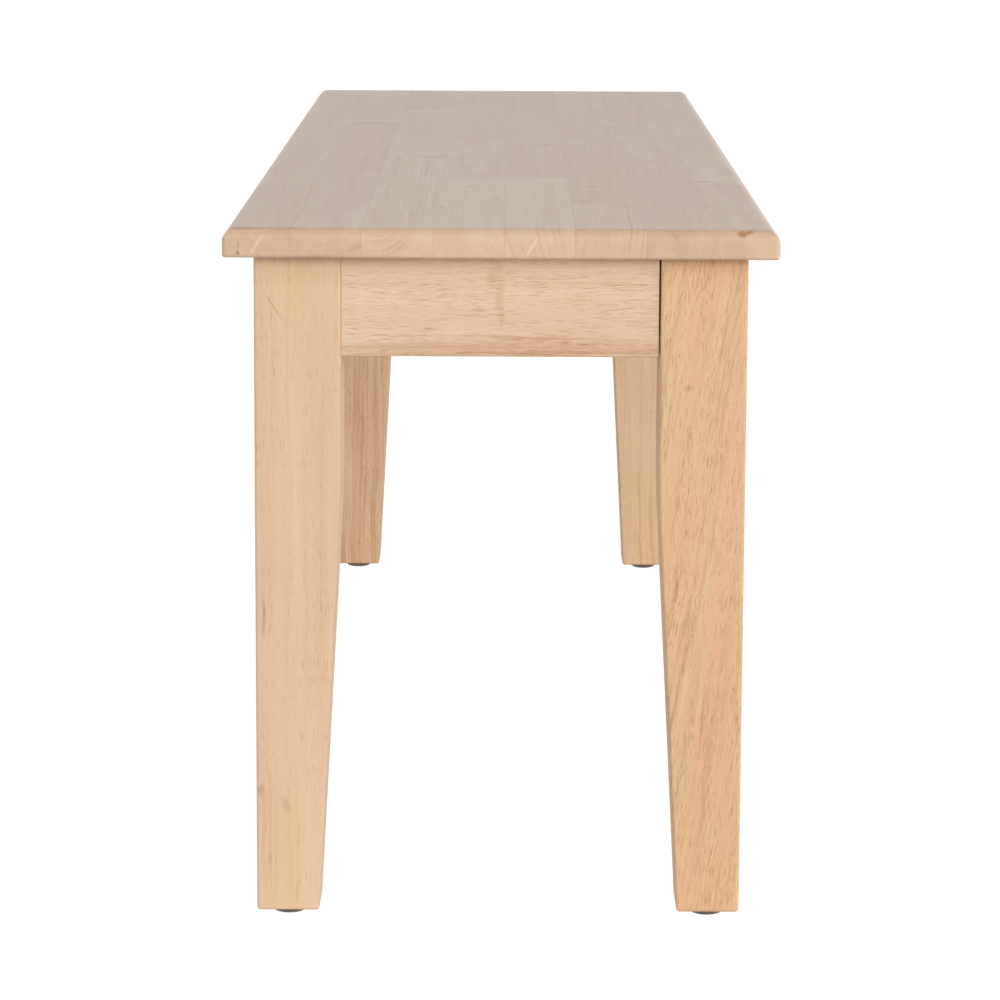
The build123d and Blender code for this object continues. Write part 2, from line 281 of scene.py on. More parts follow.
def wood_group():
    """Solid wood whose grain runs along X: growth rings round a pith, fibres and open pores."""
    wood = bpy.context.scene.bench_wood
    give, result = group_of("grown_wood", {
        "Place": origin, "Pith": origin, "Seed": origin, "Ring Width": wood.ring_width, "Ring Depth": 0.5,
        "Wander": 4 * mm, "Sway": (0, 1, 1), "Lean": 0.0, "Fibre Depth": 0.5,
        "Pore Length": wood.pore_length, "Pore Amount": 0.5, "Pore Darkness": 0.6, "Slits": 0.5,
        "Stripe Place": origin, "Stripe Reach": 8 * mm, "Stripe Depth": 0.0,
        "Blush Amount": 0.3, "Tone": 0.0, "Dullness": 0.5,
        "Pale": wood.pale, "Middle": wood.middle, "Deep": wood.deep, "Blush": wood.blush, "Pore": wood.pore,
    }, surface)

    # Places in millimetres, with the slow wander of the grain and its lean across the piece
    at = give["Place"] * in_mm
    own = at + give["Seed"]
    wander = give["Wander"] * (2 * in_mm)
    sway = joined(0.0, wander, wander)
    slow = (speckle(own * (0.009, 0.035, 0.035), output="Color") - 0.5) * sway
    quick = (speckle(own * (0.022, 0.07, 0.07), detail=1.0, output="Color") - 0.5) * (0, 0.38, 0.38) * sway
    slide = at.part("X") * give["Lean"]
    shift = slow + quick + joined(0.0, slide, slide)
    grain = own + shift * give["Sway"]

    # Growth rings
    radius = ((at + shift - give["Pith"] * in_mm) * (0, 1, 1)).length()
    rings = radius / (give["Ring Width"] * in_mm)
    uneven, broad = (
        run("ShaderNodeTexNoise", {"W": rings + give["Seed"].part("X"), "Scale": scale, "Detail": detail},
            noise_dimensions="1D")
        for scale, detail in ((0.45, 1.0), (0.8, 2.0))
    )
    part_year = (uneven * 2.4 + rings).math("FRACT")
    late = remap(part_year, 0.60, 0.95) - remap(part_year, 0.95, 1.0)
    patch = remap(speckle(own * (0.008, 0.05, 0.05), detail=1.0), 0.35, 0.65, 0.25, 1.0)
    ring_tone = (late * patch * 0.75 + (broad * 1.3 - 0.80)) * give["Ring Depth"]

    # Fibres, fine and coarse, slow bands of colour, and one darker stripe that runs along the grain
    fine = speckle(grain * (0.05, 1.5, 1.5), detail=3.0, roughness=0.62)
    coarse = speckle(grain * (0.009, 0.26, 0.26))
    band = speckle(grain * (0.0035, 0.055, 0.055))
    fibres = (fine * 0.9 + (coarse * 1.3 - 1.1)) * give["Fibre Depth"]
    side = ((at + shift - give["Stripe Place"] * in_mm) * (0, 1, 1)).length()
    side = remap(side / (give["Stripe Reach"] * in_mm), 0.2, 1.0, 1.0, 0.0)
    stripe = side * give["Stripe Depth"] * (coarse * 1.6 + 0.2)
    tone = ring_tone + fibres + (band * 0.8 - 0.4 + stripe) + give["Tone"] + 0.42
    shade = blend(tone * 2.0, give["Pale"], give["Middle"])
    shade = blend(tone * 2.0 - 1.0, shade, give["Deep"])
    rosy = speckle(grain * (0.005, 0.045, 0.045), scale=1.3, detail=3.0)
    shade = blend(remap(rosy, 0.38, 0.68) * give["Blush Amount"], shade, give["Blush"])

    # Open pores, long along the grain and dots on the end grain
    squeeze = (give["Pore Length"] * in_mm).math("POWER", -1.0)
    crowd = remap(speckle(grain * (0.016, 0.10, 0.10)), 0.30, 0.66)
    cells = flows(put(shade.socket.id_data, "ShaderNodeTexVoronoi", {
        "Vector": grain * joined(squeeze, 1.8, 1.8), "Scale": 1.0}))
    chance, size, depth = (cells["Color"].part(axis) for axis in "XYZ")
    reach = size * 0.22 + 0.20
    pores = remap(cells["Distance"], reach * 0.7, reach, 1.0, 0.0)
    pores = pores * chance.math("LESS_THAN", crowd * give["Pore Amount"]) * (depth * 0.65 + 0.35)
    slits = speckle(grain * joined(squeeze * 1.3, 2.8, 2.8), detail=1.5, roughness=0.6)
    slits = remap(slits, 0.58, 0.65) * (crowd * 0.6 + 0.4) * give["Slits"]
    pores = pores.math("MAXIMUM", slits)
    feed(result, {
        "Color": blend(pores * give["Pore Darkness"], shade, give["Pore"]),
        "Roughness": pores * 0.18 + (fine * 0.10 + give["Dullness"]),
        "Height": pores * -0.35 + fine * 0.25,
    })


def mark_group():
    """Soft-edged mark of one size round the origin of its own place, its rim broken up along the wood."""
    give, result = group_of("wood_mark", {
        "Own Place": origin, "Wood Place": origin, "Strength": 1.0, "Raggedness": 0.5}, {"Mask": 0.0})
    rough = (speckle(give["Wood Place"] * (90, 1100, 1100)) - 0.5) * give["Raggedness"]
    far = rough * 2.4 + give["Own Place"].length()
    feed(result, {"Mask": remap(far, 0.25, 1.0, 1.0, 0.0) * give["Strength"]})


def marked(object_place, wood_place, marks, ragged):
    """Mask of every mark in a list of centres and half sizes in millimetres, heights from the seat's top,
    strengths and, where they aren't square to the bench, turns in degrees."""
    mask = None
    for centre, reach, strength, *turn in marks:
        own = run("ShaderNodeMapping", {
            "Vector": object_place,
            "Location": Vector(centre) * mm + seat_top,
            "Rotation": Vector(*turn) * degree,
            "Scale": Vector(reach) * mm,
        }, vector_type="TEXTURE")
        spot = run("ShaderNodeGroup", {
            "Own Place": own, "Wood Place": wood_place, "Strength": strength, "Raggedness": ragged,
        }, node_tree=shared_group("wood_mark", mark_group))
        mask = mask.math("MAXIMUM", spot) if mask else spot
    return mask


def plating_group():
    """Plated steel: soft patches of bloom, a fine tumbled grain and dull specks."""
    give, result = group_of("plating", {
        "Place": origin, "Plating": black, "Bloom": black, "Dullness": 0.3}, surface)
    at = give["Place"] * in_mm
    patches = remap(speckle(at, scale=0.28, detail=3.0), 0.38, 0.66)
    fine = speckle(at, scale=5.0, roughness=0.6)
    specks = remap(speckle(at, scale=1.9, detail=1.0), 0.64, 0.74)
    shade = blend(patches, give["Plating"], give["Bloom"])
    feed(result, {
        "Color": blend(specks, shade, shade * (0.62, 0.62, 0.64)),
        "Roughness": specks * 0.20 + (fine * 0.16 + give["Dullness"]),
        "Height": specks * -0.4 + fine,
    })


def plastic_group():
    """Moulded plastic with a fine grain, scuffed in short strokes."""
    give, result = group_of("scuffed_plastic", {"Place": origin, "Plastic": black, "Dullness": 0.42}, surface)
    at = give["Place"] * in_mm
    grain = speckle(at, scale=3.0)
    cloud = remap(speckle(at, scale=0.12), 0.3, 0.7, 0.0, 0.5)
    strokes, other = (speckle(at * squeeze, detail=1.0) for squeeze in ((0.16, 2.4, 0.6), (1.9, 0.14, 0.6)))
    scuffs = remap(strokes.math("MAXIMUM", other), 0.64, 0.76)
    shade = blend(cloud, give["Plastic"], give["Plastic"] * (1.35, 1.35, 1.38))
    feed(result, {
        "Color": blend(scuffs * 0.5, shade, (0.42, 0.37, 0.33, 1)),
        "Roughness": scuffs * 0.25 + (grain * 0.12 + give["Dullness"]),
        "Height": scuffs * -0.5 + grain,
    })


def shared_group(name, build):
    """Node group by name, built the first time it is asked for."""
    if name not in bpy.data.node_groups:
        build()
    return bpy.data.node_groups[name]


def new_material(name):
    """Material with a Principled shader on its output, its node tree and the place on the object."""
    made = bpy.data.materials.new(name)
    made.use_nodes = True
    tree = made.node_tree
    tree.nodes.clear()
    shader = tree.nodes.new("ShaderNodeBsdfPrincipled")
    out = tree.nodes.new("ShaderNodeOutputMaterial")
    tree.links.new(shader.outputs[0], out.inputs["Surface"])
    return made, shader, flows(put(tree, "ShaderNodeTexCoord"))["Object"]


def cover(shader, group, relief, depth):
    """Lays a group's colour, roughness and relief on a shader."""
    bump = run("ShaderNodeBump", {"Height": group["Height"], "Strength": relief, "Distance": depth})
    feed(shader, {"Base Color": group["Color"], "Roughness": group["Roughness"], "Normal": bump})


# What the wood's colour is multiplied by in glue lines, at the seat's ends, and in knots, dark streaks and
# the painted shade line by the seat's left front corner
glue_tint, end_tint, knot_and_shade_tint = (0.66, 0.54, 0.45), (0.90, 0.91, 0.90), (0.68, 0.46, 0.31)
pale_streak = (0.93, 0.76, 0.54, 1)
# How far from the seat's end its tint starts and is full
end_band = (4 * mm, 0.3 * mm)


def wood_material(
        name, along, values, turn=0.0, by_block=False, dark_marks=(), pale_marks=(), gloss=0.15, ragged=0.5):
    """Lacquered wood with its grain along the given axis, turned about Z first."""
    made, shader, object_place = new_material(name)
    tree = made.node_tree
    place = object_place
    if turn:
        place = run("ShaderNodeMapping", {"Vector": place, "Rotation": (0, 0, turn)})
    place = joined(*(place.part(axis) for axis in {"X": "XYZ", "Y": "YZX", "Z": "ZXY"}[along]))
    values = {"Place": place, **values}
    if by_block:
        pith, seed, look, glue = (
            flows(put(tree, "ShaderNodeAttribute", attribute_name=attribute))[output]
            for attribute, output in (
                ("block_pith", "Vector"), ("block_seed", "Vector"),
                ("block_look", "Vector"), ("glue_line", "Fac"),
            )
        )
        values.update({
            "Pith": pith, "Seed": seed,
            "Tone": look.part("X"), "Blush Amount": look.part("Y"), "Ring Depth": look.part("Z"),
        })
    wood = flows(put(tree, "ShaderNodeGroup", values, node_tree=shared_group("grown_wood", wood_group)))
    colour = wood["Color"]
    if by_block:
        colour = blend(glue, colour, colour * glue_tint)
        from_middle = object_place.part("X").math("ABSOLUTE")
        end = remap(from_middle, *(cad_box[1][0] - reach for reach in end_band))
        colour = blend(end, colour, colour * end_tint)
    # Dark marks are knots and streaks; on the seat the first two are painted shade by the left front corner
    for marks, tint in ((dark_marks, colour * knot_and_shade_tint), (pale_marks, pale_streak)):
        if marks:
            colour = blend(marked(object_place, place, marks, ragged), colour, tint)
    cover(shader, {**wood, "Color": colour}, relief=0.35, depth=0.1 * mm)
    shader.inputs["Specular IOR Level"].default_value = gloss
    return made


def fixing_material(name, group_name, build, values, metallic=0.0):
    """Material of a small fixing, from one of the shared groups."""
    made, shader, place = new_material(name)
    shared = shared_group(group_name, build)
    group = put(made.node_tree, "ShaderNodeGroup", {"Place": place, **values}, node_tree=shared)
    cover(shader, flows(group), relief=0.25, depth=0.04 * mm)
    shader.inputs["Metallic"].default_value = metallic
    return made


def plated(name, plating, bloom, dullness):
    """Material of plated steel."""
    values = {"Plating": plating, "Bloom": bloom, "Dullness": dullness}
    return fixing_material(name, "plating", plating_group, values, metallic=1.0)


# Meshes

smooth_below, eased_above = 30 * degree, 40 * degree


def linked(name, data):
    """New object of some data, in the scene."""
    made = bpy.data.objects.new(name, data)
    bpy.context.scene.collection.objects.link(made)
    return made


def mesh_of(name, shape):
    """Plain mesh of a shape, which is then let go."""
    mesh = bpy.data.meshes.new(name)
    shape.to_mesh(mesh)
    shape.free()
    return mesh


def box_of(places):
    """Lowest and highest corner of the box round some places."""
    return [Vector(pick(place[axis] for place in places) for axis in range(3)) for pick in (min, max)]


def eased(shape, edges, width, segments):
    """Breaks some edges of a shape, and gives the new faces."""
    made = bmesh.ops.bevel(
        shape, geom=edges, offset=width, offset_type="OFFSET", segments=segments,
        affect="EDGES", clamp_overlap=True, profile=0.5, loop_slide=False)
    return made["faces"]


def solids_of(node):
    """The node's closed solids, each a list of triangles given by their corners."""
    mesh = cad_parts[node].data
    mesh.calc_loop_triangles()
    spots = [tuple(round(value, 6) for value in vertex.co) for vertex in mesh.vertices]
    open_edges, triangles, found = set(), [], []
    for face in mesh.loop_triangles:
        corners = [spots[index] for index in face.vertices]
        triangles.append(corners)
        for start, end in zip(corners, corners[1:] + corners[:1]):
            if start != end:
                open_edges ^= {frozenset((start, end))}
        if not open_edges:
            found.append(triangles)
            triangles = []
    return found


def add_solid(shape, triangles):
    """Adds a closed solid to a shape with its corners joined and its flat faces made whole."""
    made = bmesh.new()
    spots = {}
    for corners in triangles:
        for corner in corners:
            if corner not in spots:
                spots[corner] = made.verts.new(corner)
        if len(set(corners)) == 3:
            made.faces.new([spots[corner] for corner in corners])
    bmesh.ops.remove_doubles(made, verts=made.verts, dist=0.002 * mm)
    made.normal_update()
    bmesh.ops.dissolve_limit(made, angle_limit=0.05 * degree, verts=made.verts[:], edges=made.edges[:])
    scrap = mesh_of("scrap", made)
    before = len(shape.verts)
    shape.from_mesh(scrap)
    bpy.data.meshes.remove(scrap)
    shape.verts.ensure_lookup_table()
    return shape.verts[before:]


def finished(name, shape, material, replaced):
    """Puts a finished mesh in the scene as a piece that stands for CAD nodes."""
    mesh = mesh_of(name, shape)
    mesh.materials.append(material)
    return finished_mesh(name, mesh, replaced)


def finished_mesh(name, mesh, replaced):
    """Puts a mesh in the scene, smooth but for its sharp edges, and ties it to the frame."""
    piece = linked(name, mesh)
    mesh.polygons.foreach_set("use_smooth", [True] * len(mesh.polygons))
    mesh.set_sharp_from_angle(angle=smooth_below)
    piece.modifiers.new("even_normals", "WEIGHTED_NORMAL").keep_sharp = True
    baked(piece)
    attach(piece, "root")
    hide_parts(*replaced)
    return piece


def baked(piece):
    """Turns what the piece's modifiers make into its own plain mesh."""
    bpy.context.view_layer.update()
    evaluated = piece.evaluated_get(bpy.context.evaluated_depsgraph_get())
    old = piece.data
    piece.data = bpy.data.meshes.new_from_object(evaluated)
    piece.modifiers.clear()
    bpy.data.meshes.remove(old)


# Seat board

# Where the pith lies from the middle of each stave's near block, in stave widths and seat
# thicknesses, and the block's tone, blush and ring depth
near_blocks = (
    ((-1.6, -2.6), 0.00, 0.45, 0.25),
    ((-0.2, 3.0), 0.02, 0.80, 0.45),
    ((-0.30, 0.95), -0.08, 0.00, 0.50),
    ((2.4, 4.0), -0.20, 0.05, 0.30),
    ((-3.0, -2.0), -0.18, 0.00, 0.40),
    ((-5.0, 2.0), 0.02, 0.25, 0.50),
    ((-1.4, -3.5), 0.06, 1.00, 0.25),
    ((1.8, 5.0), -0.04, 0.80, 0.20),
)


def seat_stave(number, material):
    """One stave of the seat, its blocks eased along their glue lines and told apart by attributes."""
    node = f"top_stave_{number}"
    seat = bpy.context.scene.bench_seat
    low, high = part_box(node)
    middle_y, middle_z = (low.y + high.y) / 2, (low.z + high.z) / 2
    width, thickness = high.y - low.y, high.z - low.z
    board_low, board_high = Vector(cad_box[0]), Vector(cad_box[1])
    depth, end_room = 0.2 * mm, 15 * mm
    flat, sideways, hardly_sideways, lengthways = 0.95, 0.999, 0.001, 0.2

    shape = bmesh.new()
    layers = shape.verts.layers.float_vector
    seed_layer, pith_layer, look_layer = (layers.new(f"block_{name}") for name in ("seed", "pith", "look"))
    draw = random.Random(seat.seed * 100 + number)
    blocks = sorted(solids_of(node), key=lambda block: -max(spot[0] for corners in block for spot in corners))
    for order, block in enumerate(blocks):
        seed = Vector(draw.uniform(-900, 900) for _ in range(3))
        pith = (draw.uniform(-3, 3), draw.choice((-1, 1)) * draw.uniform(1.2, 6))
        tone = draw.uniform(-1, 1) * seat.tone_spread
        rosy, rings = draw.uniform(0.2, 1.0), draw.uniform(0.05, 0.2)
        if order == 0:
            pith, tone, rosy, rings = near_blocks[number - 1]
        pith = Vector((0, middle_y + pith[0] * width, middle_z + pith[1] * thickness))
        for vertex in add_solid(shape, block):
            vertex[seed_layer] = seed
            vertex[pith_layer] = pith
            vertex[look_layer] = Vector((tone, rosy, rings))
    shape.normal_update()
    glue_layer = shape.faces.layers.float.new("glue_line")

    def hidden(face):
        """True for a face inside the board, where two blocks are glued."""
        centre = face.calc_center_median()
        inside = (
            board_low.x + depth < centre.x < board_high.x - depth
            and board_low.y + depth < centre.y < board_high.y - depth
        )
        if not inside or abs(face.normal.z) > flat:
            return False
        beside = abs(face.normal.y) > sideways and min(abs(centre.y - low.y), abs(centre.y - high.y)) < depth
        finger = abs(face.normal.y) < hardly_sideways and abs(face.normal.x) > lengthways
        return beside or finger and abs(centre.x) < board_high.x - end_room

    glued = {face for face in shape.faces if hidden(face)}
    rims = [
        edge for edge in shape.edges
        if len(edge.link_faces) == 2 and (edge.link_faces[0] in glued) != (edge.link_faces[1] in glued)
    ]
    if rims and seat.joint_groove > 0:
        for face in eased(shape, rims, seat.joint_groove, 1):
            face[glue_layer] = 1.0
    return finished(f"seat_stave_{number}", shape, material, [node])


seat_knot_and_shade_marks = (
    # The first two marks are painted shade: a thin dark line and a spot where the end turns into the left
    # front corner. The rest are knots and dark figure.
    ((600, -167.3, -10.8), (6, 0.6, 5.5), 0.70),
    ((600, -167.6, -15.8), (4, 1.7, 2.0), 0.90),
    ((597, 153.6, -2.4), (7, 4.4, 3.2), 1.35),
    ((597, 157.6, -1.5), (7, 5.8, 1.9), 0.9, (16, 0, 0)),
    ((103, -53.0, 0), (26, 13, 2), 0.45, (0, 0, 29)),
    ((84, -47.0, 0), (12, 5, 2), 0.45),
    ((-212.5, -112.0, 0), (5, 24, 2), 0.60),
    ((-9, 36.5, 0), (9, 9, 2), 0.50),
    ((325.6, 64.3, 0), (5, 6, 2), 0.95),
    ((285.5, 145.1, 0), (10, 9, 2), 0.50),
    ((119, 101.5, 0), (8, 8, 2), 0.40),
    ((-151.8, 88.0, 0), (70, 5, 2), 0.35),
    ((327, -22.2, 0), (4, 3.5, 2), 0.80),
    ((412, -4.0, 0), (5, 4.5, 2), 0.60),
    ((467.6, -39.9, 0), (5, 2, 2), 0.80),
)
seat_pale_marks = (
    ((600, -156.0, -10.8), (8, 1.6, 13.5), 0.45, (-32, 0, 0)),
    ((600, 19.8, -11), (8, 1.3, 10.5), 0.55, (-32, 0, 0)),
)


class BENCH_OT_seat_board(bpy.types.Operator):
    """Make the eight staves of the seat board"""

    bl_idname = "bench.seat_board"
    bl_label = "Seat board"

    def execute(self, context):
        material = wood_material("seat_wood_lacquered", "X", {
            "Fibre Depth": 0.32, "Wander": 1.3 * mm, "Pore Amount": 0.22, "Pore Darkness": 0.45,
            "Slits": 0.25, "Dullness": 0.27, "Sway": (0, 1, 0.3), "Pale": (0.880, 0.648, 0.438, 1),
            "Middle": (0.805, 0.536, 0.350, 1), "Blush": (0.770, 0.490, 0.345, 1),
        }, by_block=True, dark_marks=seat_knot_and_shade_marks, pale_marks=seat_pale_marks, gloss=0.50, ragged=0.3)
        for number in range(1, 9):
            seat_stave(number, material)
        return {"FINISHED"}


# Frame


def dress(node, material):
    """Gives a CAD node that stays its own material."""
    for mesh_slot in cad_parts[node].material_slots:
        mesh_slot.link = "OBJECT"
        mesh_slot.material = material


leg_sway = (0, 0.25, 1)
leg_looks = {
    "front_right": {
        "Pith": (0, 0.62, -0.35), "Seed": (310, 45, 12), "Ring Depth": 0.28, "Fibre Depth": 0.34,
        "Pore Amount": 0.45, "Pore Darkness": 0.60, "Slits": 0.26, "Blush Amount": 0.45, "Tone": -0.04,
        "Wander": 5 * mm, "Pore Length": 12 * mm, "Blush": (0.83, 0.58, 0.43, 1),
    },
    "back_right": {
        "Pith": (0, 0.64, 0.28), "Seed": (870, 21, 77), "Ring Depth": 0.38, "Fibre Depth": 0.8,
        "Pore Amount": 0.90, "Pore Darkness": 0.75, "Slits": 1.0, "Blush Amount": 0.75, "Tone": 0.03,
        "Wander": 3 * mm, "Lean": -0.12, "Pore Length": 20 * mm,
        "Pale": (0.84, 0.61, 0.37, 1), "Middle": (0.80, 0.53, 0.30, 1), "Blush": (0.85, 0.52, 0.33, 1),
        "Stripe Place": (0, 0.581, 0.160), "Stripe Reach": 9 * mm, "Stripe Depth": 0.30,
    },
    "front_left": {
        "Pith": (0, -0.5, -0.3), "Seed": (120, 64, 530), "Ring Depth": 0.60, "Fibre Depth": 0.62,
        "Pore Amount": 0.5, "Pore Darkness": 0.75, "Slits": 0.6, "Blush Amount": 0.35, "Tone": 0.16,
        "Wander": 5 * mm,
    },
    "back_left": {
        "Pith": (0, -0.5, 0.3), "Seed": (640, 9, 230), "Ring Depth": 0.30, "Fibre Depth": 0.35,
        "Pore Amount": 0.35, "Pore Darkness": 0.65, "Slits": 0.4, "Blush Amount": 0.15, "Tone": 0.00,
        "Wander": 5 * mm,
    },
}
leg_dark_marks = {
    "front_right": (
        ((581, -153.5, -256), (4, 1.6, 19), 0.55),
        ((581, -156.0, -374), (4, 3.0, 6), 0.40),
        ((581, -139.0, -384), (4, 4.5, 9), 0.30, (20, 0, 0)),
        ((581, -146.0, -53), (4, 1.2, 17), 0.35, (34, 0, 0)),
        ((581, -132.0, -440), (4, 2.2, 14), 0.20, (-8, 0, 0)),
    ),
    "back_right": (
        ((581, 121.0, -104.5), (4, 4.2, 2.8), 0.38),
        ((581, 115.4, -238), (4, 1.6, 13), 0.50, (-7, 0, 0)),
        ((581, 138.0, -207), (4, 1.3, 22), 0.40, (-6, 0, 0)),
        ((581, 133.0, -327), (4, 1.8, 30), 0.40, (-4, 0, 0)),
        ((581, 131.0, -400), (10, 60, 220), 0.12),
    ),
}


class BENCH_OT_legs(bpy.types.Operator):
    """Finish the four tapered legs"""

    bl_idname = "bench.legs"
    bl_label = "Legs"

    def execute(self, context):
        for corner, look in leg_looks.items():
            marks = leg_dark_marks.get(corner, ())
            dress(f"leg_{corner}", wood_material(
                f"leg_wood_{corner}", "Z", {"Sway": leg_sway, **look}, dark_marks=marks))
        return {"FINISHED"}


apron_looks = {
    "right": ("Y", {
        "Pith": (0, 0.363, 0.56), "Seed": (55, 397, 130), "Ring Depth": 0.30, "Fibre Depth": 0.50,
        "Pore Amount": 1.0, "Pore Darkness": 0.72, "Slits": 0.9, "Blush Amount": 0.35, "Tone": -0.18,
        "Wander": 3 * mm, "Pore Length": 15 * mm, "Sway": (0, 1, 0.2),
        "Pale": (0.88, 0.68, 0.49, 1), "Middle": (0.84, 0.61, 0.42, 1),
        "Stripe Place": (0, 0.379, 0.578), "Stripe Reach": 6 * mm, "Stripe Depth": 0.40,
    }, (
        ((578, -3.0, -31), (4, 9, 14), 0.24),
        ((578, -0.6, -44), (4, 4.0, 17), 0.28, (-4, 0, 0)),
        ((578, 0.8, -58), (4, 2.2, 15), 0.22, (-3, 0, 0)),
        ((578, 0, -80), (4, 170, 9), 0.38),
    )),
    "left": ("Y", {
        "Pith": (0, 0.5, -0.6), "Seed": (500, 20, 330), "Ring Depth": 0.40, "Fibre Depth": 0.45,
        "Pore Amount": 0.70, "Pore Darkness": 0.75, "Slits": 0.7, "Blush Amount": 0.35, "Tone": 0.02,
        "Wander": 5 * mm, "Sway": (0, 1, 0.2),
    }, ()),
    "front": ("X", {
        "Pith": (0, -0.2, 0.33), "Seed": (210, 90, 440), "Ring Depth": 0.50, "Fibre Depth": 0.50,
        "Pore Amount": 0.60, "Pore Darkness": 0.75, "Slits": 0.6, "Blush Amount": 0.30, "Tone": -0.02,
        "Wander": 7 * mm, "Sway": (0, 0.2, 1),
    }, ()),
    "back": ("X", {
        "Pith": (0, 0.2, 0.50), "Seed": (730, 610, 15), "Ring Depth": 0.45, "Fibre Depth": 0.45,
        "Pore Amount": 0.60, "Pore Darkness": 0.75, "Slits": 0.6, "Blush Amount": 0.40, "Tone": 0.03,
        "Wander": 7 * mm, "Sway": (0, 0.2, 1),
    }, ()),
}


class BENCH_OT_aprons(bpy.types.Operator):
    """Finish the four aprons"""

    bl_idname = "bench.aprons"
    bl_label = "Aprons"

    def execute(self, context):
        for side, (along, look, marks) in apron_looks.items():
            dress(f"apron_{side}", wood_material(f"apron_wood_{side}", along, look, dark_marks=marks))
        return {"FINISHED"}


def eased_piece(name, node, material):
    """Copy of a hidden wooden piece with its sharp edges broken."""
    shape = bmesh.new()
    for triangles in solids_of(node):
        add_solid(shape, triangles)
    shape.normal_update()
    sharp = [edge for edge in shape.edges if edge.is_manifold and edge.calc_face_angle() > eased_above]
    eased(shape, sharp, bpy.context.scene.bench_wood.edge_ease, 2)
    return finished(name, shape, material, [node])


class BENCH_OT_corner_blocks(bpy.types.Operator):
    """Make the corner blocks and the cross brace"""

    bl_idname = "bench.corner_blocks"
    bl_label = "Corner blocks and brace"

    def execute(self, context):
        for order, (corner, signs) in enumerate(corner_signs.items()):
            turn = signs[0] * signs[1] * 45 * degree
            material = wood_material(f"block_wood_{corner}", "X", {
                "Pith": (0, 0.3 + 0.05 * order, 0.2), "Seed": (90 * order, 30 + 70 * order, 5),
                "Ring Depth": 0.6, "Fibre Depth": 0.6, "Pore Amount": 0.6, "Tone": 0.06 * order - 0.1,
            }, turn=turn)
            eased_piece(f"corner_block_{corner}_eased", f"corner_block_{corner}", material)
        material = wood_material("block_wood_brace", "Y", {
            "Pith": (0, 0.3, 0.05), "Seed": (44, 300, 61), "Ring Depth": 0.6, "Fibre Depth": 0.55,
            "Pore Amount": 0.6, "Tone": 0.05,
        })
        eased_piece("cross_brace_eased", "cross_brace", material)
        return {"FINISHED"}


# Fixings and glides


def vertex_at(shape, out, angle, up):
    """New vertex at a distance from Z, an angle round it and a height, in millimetres."""
    return shape.verts.new(Vector((out * math.cos(angle), out * math.sin(angle), up)) * mm)


def turned(shape, outline, segments, closed=False):
    """Spins (radius, height) pairs in millimetres round Z. Either may be a function of the turn's share."""
    rings = []
    for radius, height in outline:
        ring = []
        for step in range(segments if radius else 1):
            share = step / segments
            at, up = (value(share) if callable(value) else value for value in (radius, height))
            ring.append(vertex_at(shape, at, share * 2 * math.pi, up))
        rings.append(ring)
    for low, high in zip(rings, rings[1:] + rings[:1] if closed else rings[1:]):
        for step in range(segments):
            after = (step + 1) % segments
            corners = [ring[place % len(ring)] for ring, place in (
                (low, step), (low, after), (high, after), (high, step))]
            shape.faces.new(dict.fromkeys(corners))


def thread(radius, low, high, pitch, depth, tip, point):
    """Outline rows of a thread between two heights of a rod. It follows the rod's point and runs out
    at both ends."""
    turn_rows = 6
    rows = max(2, round((high - low) / pitch * turn_rows))

    def row(step):
        height = low + (high - low) * step / rows
        full = radius * min(1, abs(height - tip) / point)
        cut = depth * min(1, step / turn_rows, (rows - step) / turn_rows) * full / radius
        return lambda share: full - cut * abs(2 * ((height / pitch - share) % 1) - 1), height

    return [row(step) for step in range(rows + 1)]


def bolt_shape(radius, length):
    """Hanger bolt: wood thread with a point, plain middle, machine thread with a chamfered end."""
    start, point, chamfer = 0.6, 5.0, 1
    wood_end, wood_pitch, wood_depth = 34, 3.0, 0.9
    plain_start, plain_end, machine_depth = 36, 60, 0.6
    pitch = bpy.context.scene.bench_fixings.thread_pitch / mm
    shape = bmesh.new()
    turned(shape, [
        (0, 0), *thread(radius, start, wood_end, wood_pitch, wood_depth, 0, point), (radius, plain_start),
        *thread(radius, plain_end, length - chamfer, pitch, machine_depth, 0, point),
        (radius - chamfer, length), (0, length),
    ], 16)
    return shape


def washer_shape(radius, height):
    """Flat washer with its punched rims eased."""
    bore, burr, ease = 4.2, 0.15, 0.3
    shape = bmesh.new()
    turned(shape, [
        (radius - ease, 0), (radius, ease), (radius, height - burr), (radius - burr, height),
        (bore + burr, height), (bore, height - burr), (bore, burr), (bore + burr, 0),
    ], 48, closed=True)
    return shape


def spring_shape(radius, height):
    """Split spring washer pressed flat, its cut slanted."""
    bore, ease = 4.2, 0.15
    shape = bmesh.new()
    section = (
        (bore, ease), (bore + ease, 0), (radius - ease, 0), (radius, ease),
        (radius, height - ease), (radius - ease, height), (bore + ease, height), (bore, height - ease),
    )
    steps, gap, slant = 40, 0.12, 0.14
    rows = []
    for step in range(steps + 1):
        start = gap + (2 * math.pi - 2 * gap) * step / steps
        rows.append([vertex_at(shape, out, start + slant * (up - height / 2), up) for out, up in section])
    for first, second in zip(rows, rows[1:]):
        for corner in range(len(section)):
            shape.faces.new((first[corner - 1], first[corner], second[corner], second[corner - 1]))
    shape.faces.new(rows[0])
    shape.faces.new(rows[-1])
    bmesh.ops.recalc_face_normals(shape, faces=shape.faces)
    return shape


def nut_shape(flat, height):
    """Hexagon nut, its corners cut back by a cone at both ends and its bore countersunk."""
    face, bore, sink, chamfer = flat - 0.25, 4.05, 0.5, 30 * degree
    shape = bmesh.new()

    def side(share):
        return flat / math.cos((share * 6 % 1 - 0.5) * 60 * degree)

    def cut(share):
        return (side(share) - face) * math.tan(chamfer)

    turned(shape, [
        (face, 0), (side, cut), (side, lambda share: height - cut(share)), (face, height),
        (bore + sink, height), (bore, height - sink), (bore, sink), (bore + sink, 0),
    ], 48, closed=True)
    return shape


